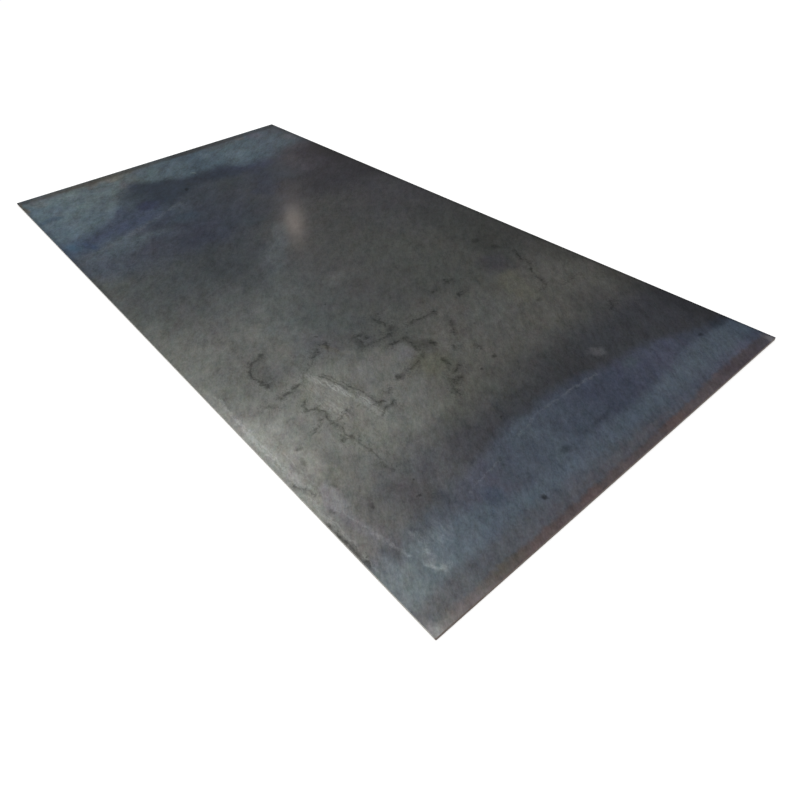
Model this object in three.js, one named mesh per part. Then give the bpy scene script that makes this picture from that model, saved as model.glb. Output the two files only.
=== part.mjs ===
// Hot-rolled steel plate, cut to a standard size and lying flat.
//
// One piece of rolled stock: two wide flat faces, and a sheared edge all the way round.
// A shear leaves the same four zones on every cut, from the face that the blade entered
// to the face that it came out of:
//   rollover - the skin drawn down round the edge, an elliptical quarter round
//   land     - the burnished strip where the blade really cut, square to the faces
//   fracture - the torn strip below it, leaning inwards at a few degrees
//   break    - the exit corner, its burr knocked off to a small flat bevel
// A slitter cuts both long edges from above, so their rollover is at the top. A
// cut-to-length shear parts one plate from the next, so the plate keeps a cut with its
// rollover on top at one end and the opposite cut, rollover underneath, at the other.
//
// Frame: +X along the length, +Y across the width, +Z up through the thickness, with
// the origin at the centre of the underside. Millimetres.

import * as THREE from 'three';

// Overall size of the stock.
const plateLength = 2500;
const plateWidth = 1250;
const plateThickness = 8;

// The four zones of a sheared edge.
const rolloverReach = 1.1;      // how far in from the edge the face starts to fall
const rolloverDrop = 0.5;       // how far it has fallen where the land begins
const landHeight = 2.2;         // burnished strip, square to the faces
const fractureAngle = 6;        // lean of the torn strip, degrees from square
const burrBreak = 0.25;         // bevel left where the burr was knocked off, both ways

// Corners in plan.
const cornerRadius = 2;         // wear on the outermost line of each corner

// How finely the round stretches are divided.
const rolloverSteps = 8;
const cornerSteps = 6;

const millScale = { color: 0x4f5255, roughness: 0.55, metalness: 0.6 };

const radians = (degrees) => (degrees * Math.PI) / 180;

// Height of the top of the fracture zone's bevel, and how far in the zone has leaned there.
const fractureHeight = plateThickness - rolloverDrop - landHeight - burrBreak;
const fractureLean = fractureHeight * Math.tan(radians(fractureAngle));

// The sheared section as [depth, inset] pairs: depth below the face that the blade
// entered, inset from the outermost line of the cut.
function shearedSection() {
  const section = [];
  for (let step = 0; step <= rolloverSteps; step += 1) {
    const turn = (step / rolloverSteps) * (Math.PI / 2);
    const depth = rolloverDrop * (1 - Math.cos(turn));
    const inset = rolloverReach * (1 - Math.sin(turn));
    section.push([depth, inset]);
  }
  section.push([rolloverDrop + landHeight, 0]);
  section.push([plateThickness - burrBreak, fractureLean]);
  section.push([plateThickness, fractureLean + burrBreak]);
  return section;
}

// Inset of a section at any depth, by straight lines between its points.
function insetAt(section, depth) {
  for (let i = 1; i < section.length; i += 1) {
    const [depthBefore, insetBefore] = section[i - 1];
    const [depthAfter, insetAfter] = section[i];
    if (depth <= depthAfter) {
      const part = (depth - depthBefore) / (depthAfter - depthBefore);
      return insetBefore + part * (insetAfter - insetBefore);
    }
  }
  return section[section.length - 1][1];
}

// Every height at which an edge of either sense changes direction, bottom to top.
function ringHeights(section) {
  const heights = section.flatMap(([depth]) => [depth, plateThickness - depth]);
  const sorted = heights.sort((a, b) => a - b);
  const merged = 1e-6;
  return sorted.filter((height, i) => i === 0 || height - sorted[i - 1] > merged);
}

// One level outline, counter-clockwise from above. Each corner is a quarter round about
// a centre that all the rings share, so its two half-axes shrink with the insets of the
// edges that it joins, and the edges meet in a true mitre.
function plateRing(section, height) {
  const cutFromAbove = insetAt(section, plateThickness - height);
  const cutFromBelow = insetAt(section, height);
  const centreX = plateLength / 2 - cornerRadius;
  const centreY = plateWidth / 2 - cornerRadius;
  const alongWidth = cornerRadius - cutFromAbove;
  const corners = [
    { x: 1, y: 1, reach: cornerRadius - cutFromBelow },
    { x: -1, y: 1, reach: cornerRadius - cutFromAbove },
    { x: -1, y: -1, reach: cornerRadius - cutFromAbove },
    { x: 1, y: -1, reach: cornerRadius - cutFromBelow },
  ];
  return corners.flatMap((corner, quarter) => {
    const arc = [];
    for (let step = 0; step <= cornerSteps; step += 1) {
      const turn = (quarter + step / cornerSteps) * (Math.PI / 2);
      const x = corner.x * centreX + corner.reach * Math.cos(turn);
      const y = corner.y * centreY + alongWidth * Math.sin(turn);
      arc.push(new THREE.Vector3(x, y, height));
    }
    return arc;
  });
}

// A closed body through level rings of equal count, bottom ring first.
function loftRings(rings) {
  const count = rings[0].length;
  const positions = rings.flat().flatMap((point) => point.toArray());
  const faces = [];
  for (let level = 0; level < rings.length - 1; level += 1) {
    for (let i = 0; i < count; i += 1) {
      const next = (i + 1) % count;
      const low = level * count;
      const high = low + count;
      faces.push(low + i, low + next, high + next);
      faces.push(low + i, high + next, high + i);
    }
  }
  const topStart = (rings.length - 1) * count;
  const flat = (ring) => ring.map((point) => new THREE.Vector2(point.x, point.y));
  THREE.ShapeUtils.triangulateShape(flat(rings[0]), []).forEach(([a, b, c]) => faces.push(a, c, b));
  THREE.ShapeUtils.triangulateShape(flat(rings[rings.length - 1]), []).forEach(([a, b, c]) => {
    faces.push(topStart + a, topStart + b, topStart + c);
  });
  const geometry = new THREE.BufferGeometry();
  geometry.setAttribute('position', new THREE.Float32BufferAttribute(positions, 3));
  geometry.setIndex(faces);
  geometry.computeVertexNormals();
  return geometry;
}

function steelPlate() {
  const section = shearedSection();
  const rings = ringHeights(section).map((height) => plateRing(section, height));
  const mesh = new THREE.Mesh(loftRings(rings), new THREE.MeshStandardMaterial(millScale));
  mesh.name = 'steel_plate';
  return mesh;
}

const stock = new THREE.Group();
stock.add(steelPlate());

export default stock;
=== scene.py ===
import bpy
import math
import numpy as np
from mathutils import Matrix, Vector


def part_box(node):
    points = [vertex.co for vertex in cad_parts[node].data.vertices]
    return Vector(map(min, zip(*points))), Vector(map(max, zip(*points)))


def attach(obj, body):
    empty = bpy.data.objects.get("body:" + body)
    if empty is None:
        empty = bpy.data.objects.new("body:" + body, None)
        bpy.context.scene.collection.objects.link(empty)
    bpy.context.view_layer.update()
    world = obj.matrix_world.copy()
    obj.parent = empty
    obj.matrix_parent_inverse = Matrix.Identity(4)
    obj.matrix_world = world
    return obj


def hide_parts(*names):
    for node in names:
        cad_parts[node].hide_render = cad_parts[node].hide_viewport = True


# A hot-rolled steel plate lying on a pale floor. Metres, +X along the plate, +Z up.

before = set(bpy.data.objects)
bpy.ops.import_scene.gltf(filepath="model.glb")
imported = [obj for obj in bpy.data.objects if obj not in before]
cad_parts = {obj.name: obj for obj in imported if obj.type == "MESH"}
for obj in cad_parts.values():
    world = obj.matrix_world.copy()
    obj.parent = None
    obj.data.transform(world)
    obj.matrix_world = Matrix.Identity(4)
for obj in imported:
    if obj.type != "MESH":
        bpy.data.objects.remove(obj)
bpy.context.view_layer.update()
# the plate's box is centred over the origin, so its upper corner gives the half sizes
_, (halfLength, halfWidth, thickness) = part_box("steel_plate")
rng = np.random.default_rng(7)


def mm(*sizes):
    # millimetres to metres, one number or a tuple
    metres = tuple(size * 0.001 for size in sizes)
    return metres[0] if len(metres) == 1 else metres


def srgb(red, green, blue):
    # 0-255 screen colour to the linear colour that a shader takes
    screen = np.array([red, green, blue]) / 255
    linear = np.where(screen <= 0.04045, screen / 12.92, ((screen + 0.055) / 1.055) ** 2.4)
    return (*[float(part) for part in linear], 1.0)


def addObject(name, data):
    made = bpy.data.objects.new(name, data)
    bpy.context.scene.collection.objects.link(made)
    return made


def newMaterial(name):
    made = bpy.data.materials.new(name)
    made.use_nodes = True
    made.node_tree.nodes.clear()
    return made, made.node_tree


# small pieces of a material: each adds its nodes in the order they are used and returns an output

def setInput(tree, socket, value):
    if isinstance(value, bpy.types.NodeSocket):
        tree.links.new(value, socket)
    elif value is not None:
        socket.default_value = value


def addNode(tree, kind, inputs=(), **settings):
    # a node with its settings made and its inputs filled, by name or number
    made = tree.nodes.new(kind)
    for name, value in settings.items():
        setattr(made, name, value)
    for key, value in dict(inputs).items():
        setInput(tree, made.inputs[key], value)
    return made


def calc(tree, operation, first, second=None, third=None):
    inputs = {0: first, 1: second, 2: third}
    return addNode(tree, "ShaderNodeMath", inputs, operation=operation).outputs[0]


def calcVector(tree, operation, first, second):
    return addNode(tree, "ShaderNodeVectorMath", {0: first, 1: second}, operation=operation).outputs[0]


def scaleVector(tree, vector, share):
    inputs = {0: vector, "Scale": share}
    return addNode(tree, "ShaderNodeVectorMath", inputs, operation="SCALE").outputs[0]


def step(tree, value, start, end, low=0.0, high=1.0):
    # smooth change from low to high while value goes from start to end
    inputs = {"Value": value, "From Min": start, "From Max": end, "To Min": low, "To Max": high}
    made = addNode(tree, "ShaderNodeMapRange", inputs, interpolation_type="SMOOTHSTEP")
    return made.outputs["Result"]


def spread(tree, value, start, end, low, high):
    # straight-line change, not held at its ends
    inputs = {"Value": value, "From Min": start, "From Max": end, "To Min": low, "To Max": high}
    return addNode(tree, "ShaderNodeMapRange", inputs, clamp=False).outputs["Result"]


def cloud(tree, at, waves, detail=2.0, roughness=0.5):
    # fractal noise about 0.5, in waves per metre
    inputs = {"Vector": at, "Scale": waves, "Detail": detail, "Roughness": roughness}
    return addNode(tree, "ShaderNodeTexNoise", inputs).outputs["Fac"]


# noise hardened into patches: waves per metre, detail, roughness, the noise where it turns from
# low to high, and both
patterns = {
    "stainBreaks": (48.0, 4.0, 0.8, 0.36, 0.56, 0.3, 1.0),
    "stainGrain": (110.0, 2.0, 0.8, 0.3, 0.6, 0.72, 1.0),
    "stainSpecks": (140.0, 2.0, 0.8, 0.55, 0.64, 0.0, 1.0),
    "scuffBreaks": (70.0, 3.0, 0.7, 0.38, 0.62, 0.3, 1.0),
    "rubStrokes": (1.0, 3.0, 0.7, 0.4, 0.58, 0.0, 1.0),
    "landScores": (1.0, 2.0, 0.5, 0.3, 0.7, 0.8, 1.12),
    "tornPits": (700.0, 4.0, 0.7, 0.3, 0.7, 0.55, 1.2),
    "endBlotches": (60.0, 4.0, 0.5, 0.2, 0.6, 0.7, 1.0),
}


def patterned(tree, at, name):
    waves, detail, roughness, start, end, low, high = patterns[name]
    return step(tree, cloud(tree, at, waves, detail, roughness), start, end, low, high)


def blend(tree, factor, under, over, mode="MIX"):
    # the colour sockets of a Mix node are its seventh, eighth and third
    made = addNode(tree, "ShaderNodeMix", {0: factor, 6: under, 7: over}, data_type="RGBA", blend_type=mode)
    return made.outputs[2]


def drawn(tree, value, points, start, end):
    # a smooth curve through (value, result) pairs, for values from start to end, level past its ends
    results = [result for _, result in points]
    low, high = min(results), max(results) + mm(1)
    share = spread(tree, value, start, end, 0.0, 1.0)
    made = addNode(tree, "ShaderNodeFloatCurve", {"Value": share})
    made.mapping.extend = "HORIZONTAL"
    curve = made.mapping.curves[0]
    spots = sorted(((at - start) / (end - start), (out - low) / (high - low)) for at, out in points)
    while len(curve.points) < len(spots):
        curve.points.new(0.5, 0.5)
    for point, spot in zip(curve.points, spots):
        point.location = spot
    made.mapping.update()
    return spread(tree, made.outputs[0], 0.0, 1.0, low, high)


camera = {
    "at": (1.6052, -0.9743, 1.0312),
    "towards": (-0.5841, 0.4481, -0.6768),
    "right": (0.6446, 0.7628, -0.0514),
    "lens": 27.35,
    "sensor": 36,
    "nearClip": 0.01,
    "shift": (0.020, 0.0014),
}


def placeCamera():
    data = bpy.data.cameras.new("camera")
    data.sensor_width = camera["sensor"]
    data.lens = camera["lens"]
    data.shift_x, data.shift_y = camera["shift"]
    data.clip_start = camera["nearClip"]
    holder = addObject("camera", data)
    back = -Vector(camera["towards"]).normalized()
    right = Vector(camera["right"])
    right = (right - back * right.dot(back)).normalized()
    up = back.cross(right)
    turn = Matrix((right, up, back)).transposed().to_4x4()
    holder.matrix_world = Matrix.Translation(camera["at"]) @ turn
    bpy.context.scene.camera = holder
    print("camera placed")


studio = {
    "worldLight": 0.72,       # what the surroundings add to a matt surface
    "floorReach": 14.0,
    "floorDrop": mm(0.05),    # gap between the floor and the plate
    "floorShade": 0.82,       # matt share of the floor, which takes the shadow
    "floorGlow": 0.42,        # the rest of its white, for eye and mirror rays
}
lamps = [
    {"name": "keyLamp", "at": (1.2, -2.6, 3.2), "aim": (0.1, 0.0, 0.0), "size": 2.4, "power": 38,
     "colour": (1.0, 0.98, 0.95)},
    {"name": "fillLamp", "at": (-2.8, 1.4, 3.0), "aim": (0.0, 0.0, 0.0), "size": 2.6, "power": 16,
     "colour": (0.95, 0.98, 1.0)},
    {"name": "glareLamp", "at": (-4.02, 2.25, 2.09), "aim": (-0.25, 0.09, 0.0), "size": 0.17, "power": 4.6,
     "colour": (1.0, 0.84, 0.74)},
]


def seenRays(tree):
    # 1 for rays that show the background: camera, mirror and glass rays
    path = addNode(tree, "ShaderNodeLightPath")
    seen = calc(tree, "MAXIMUM", path.outputs["Is Camera Ray"], path.outputs["Is Glossy Ray"])
    return calc(tree, "MAXIMUM", seen, path.outputs["Is Transmission Ray"])


def lightStudio():
    world = bpy.data.worlds.new("paleSurroundings")
    bpy.context.scene.world = world
    world.use_nodes = True
    tree = world.node_tree
    tree.nodes.clear()
    strength = spread(tree, seenRays(tree), 0.0, 1.0, studio["worldLight"], 1.0)
    sky = addNode(tree, "ShaderNodeBackground", {"Color": (1, 1, 1, 1), "Strength": strength})
    addNode(tree, "ShaderNodeOutputWorld", {"Surface": sky.outputs[0]})
    for lamp in lamps:
        data = bpy.data.lights.new(lamp["name"], "AREA")
        data.shape = "DISK"
        data.size = lamp["size"]
        data.energy = lamp["power"]
        data.color = lamp["colour"]
        holder = addObject(lamp["name"], data)
        holder.location = lamp["at"]
        facing = Vector(lamp["aim"]) - Vector(lamp["at"])
        holder.rotation_euler = facing.to_track_quat("-Z", "Y").to_euler()
    print("studio lit by", len(lamps), "lamps")


def layFloor():
    reach = studio["floorReach"] / 2
    corners = [(-reach, -reach, 0), (reach, -reach, 0), (reach, reach, 0), (-reach, reach, 0)]
    mesh = bpy.data.meshes.new("floor")
    mesh.from_pydata(corners, [], [(0, 1, 2, 3)])
    floor = addObject("floor", mesh)
    floor.location.z = -studio["floorDrop"]
    made, tree = newMaterial("paleFloor")
    shade = studio["floorShade"]
    matt = addNode(tree, "ShaderNodeBsdfDiffuse", {"Color": (shade, shade, shade, 1)})
    glow = calc(tree, "MULTIPLY", seenRays(tree), studio["floorGlow"])
    lit = addNode(tree, "ShaderNodeEmission", {"Color": (1, 1, 1, 1), "Strength": glow})
    both = addNode(tree, "ShaderNodeAddShader", {0: matt.outputs[0], 1: lit.outputs[0]})
    addNode(tree, "ShaderNodeOutputMaterial", {"Surface": both.outputs[0]})
    mesh.materials.append(made)
    print("floor laid")


placeCamera()
lightStudio()
layFloor()


plate = {
    "cell": mm(10),               # spacing of the grid on both faces
    "rim": mm(4),                 # strip between the outline and that grid
    "cornerRadius": mm(2),
    "cornerSteps": 6,
    "rolloverReach": mm(1.1),     # where the face starts to fall, in from the cut
    "rolloverDrop": mm(0.5),
    "rolloverSteps": 7,
    "landHeight": mm(2.2),        # burnished strip
    "fractureAngle": 6,           # lean of the torn strip, degrees
    "burrBreak": mm(0.25),
    "tornRows": 9,                # rows of vertices up the plain part of the cut
    "landRipple": mm(0.45),       # how far the land's lower edge wanders
    "rippleTurns": (9, 23, 41, 67, 113),   # waves of that edge round the outline
    "rippleSeed": 3,
    "tear": mm(0.10),             # depth of the torn strip's roughness
    "tearFade": mm(0.6),          # depth over which that roughness sets in
    "cutFrom": 0.9,               # share of the rollover's drop past which bare metal shows
    "sag": mm(0.30),              # shallow waves left in the top face by the rolls
    "sharpFrom": 32,              # edges that turn more than this stay sharp, degrees
}
# those waves: radians per metre along x and along y, start, share
rollWaves = [(5.1, 2.3, 0.6, 0.5), (-1.9, 8.7, 2.1, 0.3), (11.3, 6.1, 4.0, 0.2)]


def shearedSection():
    # inset from the cut's outermost line against depth below the face the blade entered:
    # a quarter ellipse, a straight land, a leaning torn strip and a small bevel
    turn = np.linspace(0, math.pi / 2, plate["rolloverSteps"] + 1)
    depth = plate["rolloverDrop"] * (1 - np.cos(turn))
    inset = plate["rolloverReach"] * (1 - np.sin(turn))
    landFoot = plate["rolloverDrop"] + plate["landHeight"]
    tornFoot = thickness - plate["burrBreak"]
    lean = (tornFoot - landFoot) * math.tan(math.radians(plate["fractureAngle"]))
    depth = np.concatenate([depth, [landFoot, tornFoot, thickness]])
    inset = np.concatenate([inset, [0, lean, lean + plate["burrBreak"]]])
    return depth, inset


def wander(along, turns, seed):
    # a closed wavy line about 0, within 1: a sum of whole-numbered sines
    phases = np.random.default_rng(seed).uniform(0, 2 * math.pi, len(turns))
    waves = [np.sin(2 * math.pi * count * along + phase) for count, phase in zip(turns, phases)]
    return sum(waves) / len(turns)


def shallowWaves(x, y):
    # how far the top face lies below its highest level, 0 to 1: a sum of crossing sine waves
    waves = [share * np.sin(x * turnX + y * turnY + start) for turnX, turnY, start, share in rollWaves]
    return 0.5 + sum(waves) / 2


def outlineStations(gridX, gridY):
    # round the outline, counter-clockwise: each station's centre, its outward share in x
    # and y, and the grid vertex that it joins
    radius = plate["cornerRadius"]
    farX, farY = halfLength - radius, halfWidth - radius
    lastX, lastY = len(gridX) - 1, len(gridY) - 1
    arc = np.linspace(0, math.pi / 2, plate["cornerSteps"] + 1)
    flatX, flatY = np.zeros_like(gridX), np.zeros_like(gridY)
    countX, countY = np.arange(lastX + 1), np.arange(lastY + 1)

    def side(centreX, centreY, shareX, shareY, column, row):
        return np.broadcast_arrays(centreX, centreY, shareX, shareY, column, row)

    parts = [
        side(farX, gridY, flatY + 1, flatY, lastX, countY),
        side(farX, farY, np.cos(arc), np.sin(arc), lastX, lastY),
        side(gridX[::-1], farY, flatX, flatX + 1, countX[::-1], lastY),
        side(-farX, farY, -np.sin(arc), np.cos(arc), 0, lastY),
        side(-farX, gridY[::-1], flatY - 1, flatY, 0, countY[::-1]),
        side(-farX, -farY, -np.cos(arc), -np.sin(arc), 0, 0),
        side(gridX, -farY, flatX, flatX - 1, countX, 0),
        side(farX, -farY, np.sin(arc), -np.cos(arc), lastX, 0),
    ]
    return [np.concatenate(column) for column in zip(*parts)]


def plateHeights(depth):
    # rows of the edge from underside to top, close together where either cut is round
    middle = np.linspace(depth[plate["rolloverSteps"]], thickness - plate["rolloverDrop"], plate["tornRows"])
    rows = np.concatenate([depth, thickness - depth, middle])
    return np.unique(np.round(rows, 8))


def cutSurface(heights, depth, inset, centreX, centreY, shareX, shareY):
    # the edge as rows of points round the outline: each station's centre, plus its outward share
    # times the corner radius less the section's inset and the tear. Also each point's depth
    # under the face that the blade entered: the top everywhere, but the underside at the end
    # towards +X. The land's lower edge wanders as the cut goes along
    stations = len(centreX)
    along = np.arange(stations) / stations
    plain = (heights > plate["rolloverDrop"]) & (heights < thickness - plate["rolloverDrop"])
    ripple = plate["landRipple"] * wander(along, plate["rippleTurns"], plate["rippleSeed"])
    shift = ripple[None, :] * plain[:, None]
    fromTop = np.clip(thickness - heights[:, None] + shift, 0, thickness)
    fromUnder = np.clip(heights[:, None] + shift, 0, thickness)
    depthX = np.where(shareX > 0, fromUnder, fromTop)
    landFoot = depth[-3]
    torn = np.interp(depthX, [landFoot, landFoot + plate["tearFade"], thickness], [0, 1, 1])
    roughness = rng.random((len(heights), stations))
    roughness = (roughness + np.roll(roughness, 1, axis=1)) / 2
    tear = plate["tear"] * torn * roughness * plain[:, None]
    radius = plate["cornerRadius"]
    edgeX = centreX + shareX * (radius - np.interp(depthX, depth, inset) - tear)
    edgeY = centreY + shareY * (radius - np.interp(fromTop, depth, inset) - tear)
    edgeZ = np.broadcast_to(heights[:, None], edgeX.shape)
    return np.stack([edgeX, edgeY, edgeZ], axis=-1), depthX


def plateFaces(rows, grid, column, row):
    # quads and triangles by vertex number, the edge's rows first, then the grid of the underside
    # and that of the top: walls between rows, the grids' tiles, and the strip round each grid
    stations = len(column)
    here = np.arange(stations)
    there = np.roll(here, -1)
    levels = np.arange(rows - 1)[:, None] * stations
    walls = np.stack([levels + here, levels + there, levels + stations + there, levels + stations + here], -1)
    ids = np.arange(grid[0] * grid[1]).reshape(grid)
    tiles = np.stack([ids[:-1, :-1], ids[1:, :-1], ids[1:, 1:], ids[:-1, 1:]], -1).reshape(-1, 4)
    joined = ids[column, row]
    nextJoined = np.roll(joined, -1)
    rimOut = np.stack([here, there, nextJoined], -1)
    rimIn = np.stack([here, nextJoined, joined], -1)[joined != nextJoined]
    underStart = rows * stations
    topStart = underStart + ids.size
    lastRow = (rows - 1) * stations
    quads = np.concatenate([walls.reshape(-1, 4), tiles[:, ::-1] + underStart, tiles + topStart])
    underRim = [rimOut[:, ::-1] + (underStart, 0, 0), rimIn[:, ::-1] + (underStart, underStart, 0)]
    topRim = [rimOut + (lastRow, lastRow, topStart), rimIn + (lastRow, topStart, topStart)]
    return quads, np.concatenate(underRim + topRim)


def rolledPlateMesh():
    # two flat grids joined by a sheared section carried round the outline; every point sinks by
    # the waves of the top face, in proportion to its height
    depth, inset = shearedSection()
    reachX, reachY = halfLength - plate["rim"], halfWidth - plate["rim"]
    gridX = np.linspace(-reachX, reachX, round(2 * reachX / plate["cell"]) + 1)
    gridY = np.linspace(-reachY, reachY, round(2 * reachY / plate["cell"]) + 1)
    centreX, centreY, shareX, shareY, column, row = outlineStations(gridX, gridY)
    heights = plateHeights(depth)
    edge, depthX = cutSurface(heights, depth, inset, centreX, centreY, shareX, shareY)
    faceX, faceY = np.meshgrid(gridX, gridY, indexing="ij")
    under = np.stack([faceX, faceY, np.zeros_like(faceX)], axis=-1).reshape(-1, 3)
    top = under + (0, 0, thickness)
    vertices = np.concatenate([edge.reshape(-1, 3), under, top])
    fall = plate["sag"] * shallowWaves(vertices[:, 0], vertices[:, 1])
    vertices[:, 2] -= fall * vertices[:, 2] / thickness
    quads, triangles = plateFaces(len(heights), faceX.shape, column, row)
    mesh = bpy.data.meshes.new("rolledPlate")
    mesh.from_pydata(vertices, [], quads.tolist() + triangles.tolist())

    # the walls past the rollover are bare metal, the second material
    rowMiddle = ((heights[:-1] + heights[1:]) / 2)[:, None]
    entered = np.where(shareX > 0, rowMiddle, thickness - rowMiddle)
    bare = np.zeros(len(mesh.polygons), dtype=np.int32)
    bare[:entered.size] = (entered > plate["rolloverDrop"] * plate["cutFrom"]).reshape(-1)
    mesh.polygons.foreach_set("material_index", bare)
    mesh.polygons.foreach_set("use_smooth", np.ones(len(mesh.polygons), dtype=bool))
    cut = mesh.attributes.new("cutDepth", "FLOAT", "POINT")
    cutDepth = np.zeros(len(vertices))
    cutDepth[:depthX.size] = depthX.reshape(-1)
    cut.data.foreach_set("value", cutDepth)
    mesh.update()
    mesh.set_sharp_from_angle(angle=math.radians(plate["sharpFrom"]))
    return mesh


# the scale's tones are 0-255 screen colours; places and sizes on the plate are in millimetres
scale = {
    "metallic": 0.25,
    "roughness": 0.44,
    "roughnessStray": 0.08,            # how far it strays to either side
    "roughnessNoise": (14.0, 4.0),     # of that: waves per metre, detail
    "rubbedSmooth": 0.08,              # what a rub takes from the roughness and a dried mark adds
    "stainedRough": 0.12,
    "sheen": 0.012,                    # specular level of the matt share
    "grazing": (0.46, 0.46, 0.46, 1),  # what the metal keeps at a glancing angle
    "oil": 0.06,                       # thin film that carries the lamp's glare
    "oilRoughness": 0.155,
    "pitStrength": 0.25,
    "pitDepth": 0.15,
    "pitNoise": (420.0, 3.0, 0.6),
    "mottle": 0.185,                   # light and dark flecks
    "tinge": 0.024,                    # warm and cool flecks
    "greening": 0.016,
    "mottleSize": 31,                  # the largest flecks at the near end
    "mottleDetail": 3.9,               # how many times they halve
    "mottleFar": 1.35,                 # strength of the flecks at the far end against the near end
    "mottleEven": 300,                 # x past which they keep their strength
    "mottleDarkest": 0.6,              # the least that a fleck leaves of a tone
    "mottleTurn": -37.5,               # the way that the flecks run, and how much longer they are
    "mottleStretch": 1.9,
    "mottleBase": 0.7,                 # 1 / size of the flecks at the middle against the near end
    "mottleGrowth": 0.24,
    "softDrift": (90, 4.0, 3.0),       # how far clouds, borders and marks are pushed about,
    "borderDrift": (46, 11.0, 5.0),    # in what waves per metre and with how much detail
    "markDrift": (14, 42.0, 4.0),
}

# bands of the plain scale towards the near end: border as (y, x), half the width of its fade,
# tones along y from the back edge to the front. They grow lighter towards the front edge: partly
# the scale's own tone, partly a painted reflection, the most of it in the bright band
plainTones = [(600, (53, 53, 56)), (480, (56, 56, 59)), (250, (57, 58, 58)), (60, (60, 61, 61)),
              (-130, (56, 60, 64)), (-260, (53, 57, 60)), (-400, (65, 69, 71)), (-510, (69, 73, 74)),
              (-620, (79, 82, 81))]
plainBands = [
    {"name": "middle", "border": [(620, 50), (0, 0), (-300, 30), (-480, 60), (-620, 50)], "fade": 200,
     "tones": [(600, (53, 54, 53)), (450, (57, 59, 58)), (370, (66, 67, 65)), (200, (67, 69, 67)),
               (0, (66, 67, 67)), (-200, (71, 75, 75)), (-330, (86, 89, 88)), (-450, (92, 93, 91)),
               (-620, (105, 107, 103))]},
    # the bright band's pale rise towards the front edge is mostly a painted reflection, over the scale's own
    # tone
    {"name": "bright", "border": [(620, 490), (440, 520), (300, 535), (200, 525), (0, 465), (-150, 515),
                                  (-250, 505), (-330, 490), (-450, 520), (-620, 515)], "fade": 90,
     "tones": [(600, (60, 60, 58)), (500, (77, 77, 75)), (350, (78, 78, 75)), (100, (80, 80, 78)),
               (0, (81, 81, 78)), (-100, (82, 83, 79)), (-260, (99, 100, 97)), (-400, (108, 110, 105)),
               (-500, (114, 115, 111)), (-620, (142, 143, 138))]},
]

# bands at the far end, outward; their tones too grow lighter towards the front, partly by painted reflection
farBands = [
    {"name": "slate", "border": [(620, -340), (300, -370), (0, -350), (-250, -330), (-620, -400)], "fade": 90,
     "tones": [(600, (36, 35, 39)), (500, (42, 41, 46)), (380, (41, 41, 46)), (270, (49, 49, 53)),
               (120, (51, 54, 60)), (-60, (48, 53, 62)), (-250, (48, 53, 63)), (-380, (58, 62, 71)),
               (-490, (64, 70, 79)), (-620, (71, 78, 88))]},
    {"name": "haze", "border": [(620, -600), (300, -620), (0, -680), (-250, -640), (-620, -600)], "fade": 60,
     "tones": [(600, (30, 28, 31)), (520, (42, 40, 46)), (430, (53, 52, 58)), (300, (45, 50, 58)),
               (100, (47, 52, 59)), (-60, (49, 55, 63)), (-210, (53, 62, 74)), (-400, (59, 68, 83)),
               (-620, (61, 75, 92))]},
    {"name": "navy", "border": [(620, -880), (420, -840), (340, -800), (200, -810), (0, -835), (-100, -780),
                                (-200, -775), (-280, -815), (-340, -900), (-620, -1100)], "fade": 45,
     "tones": [(520, (53, 52, 58)), (420, (50, 52, 60)), (280, (40, 47, 63)), (100, (33, 41, 54)),
               (-20, (36, 44, 55)), (-150, (35, 44, 56)), (-260, (49, 58, 68)), (-340, (62, 72, 80))]},
    {"name": "tint", "border": [(620, -930), (520, -940), (440, -908), (350, -893), (290, -885), (235, -908),
                                (190, -944), (100, -960), (-30, -976), (-85, -1014), (-140, -1045),
                                (-190, -1070), (-240, -1030), (-300, -985), (-345, -900), (-390, -815),
                                (-451, -775), (-566, -740), (-620, -735)], "fade": 56,
     "tones": [(600, (57, 63, 70)), (500, (64, 75, 84)), (300, (67, 81, 90)), (120, (60, 75, 86)),
               (0, (69, 83, 92)), (-120, (73, 86, 92)), (-200, (77, 85, 88)), (-300, (84, 95, 99)),
               (-380, (83, 95, 100)), (-470, (86, 100, 107)), (-620, (80, 95, 105))]},
]
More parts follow.
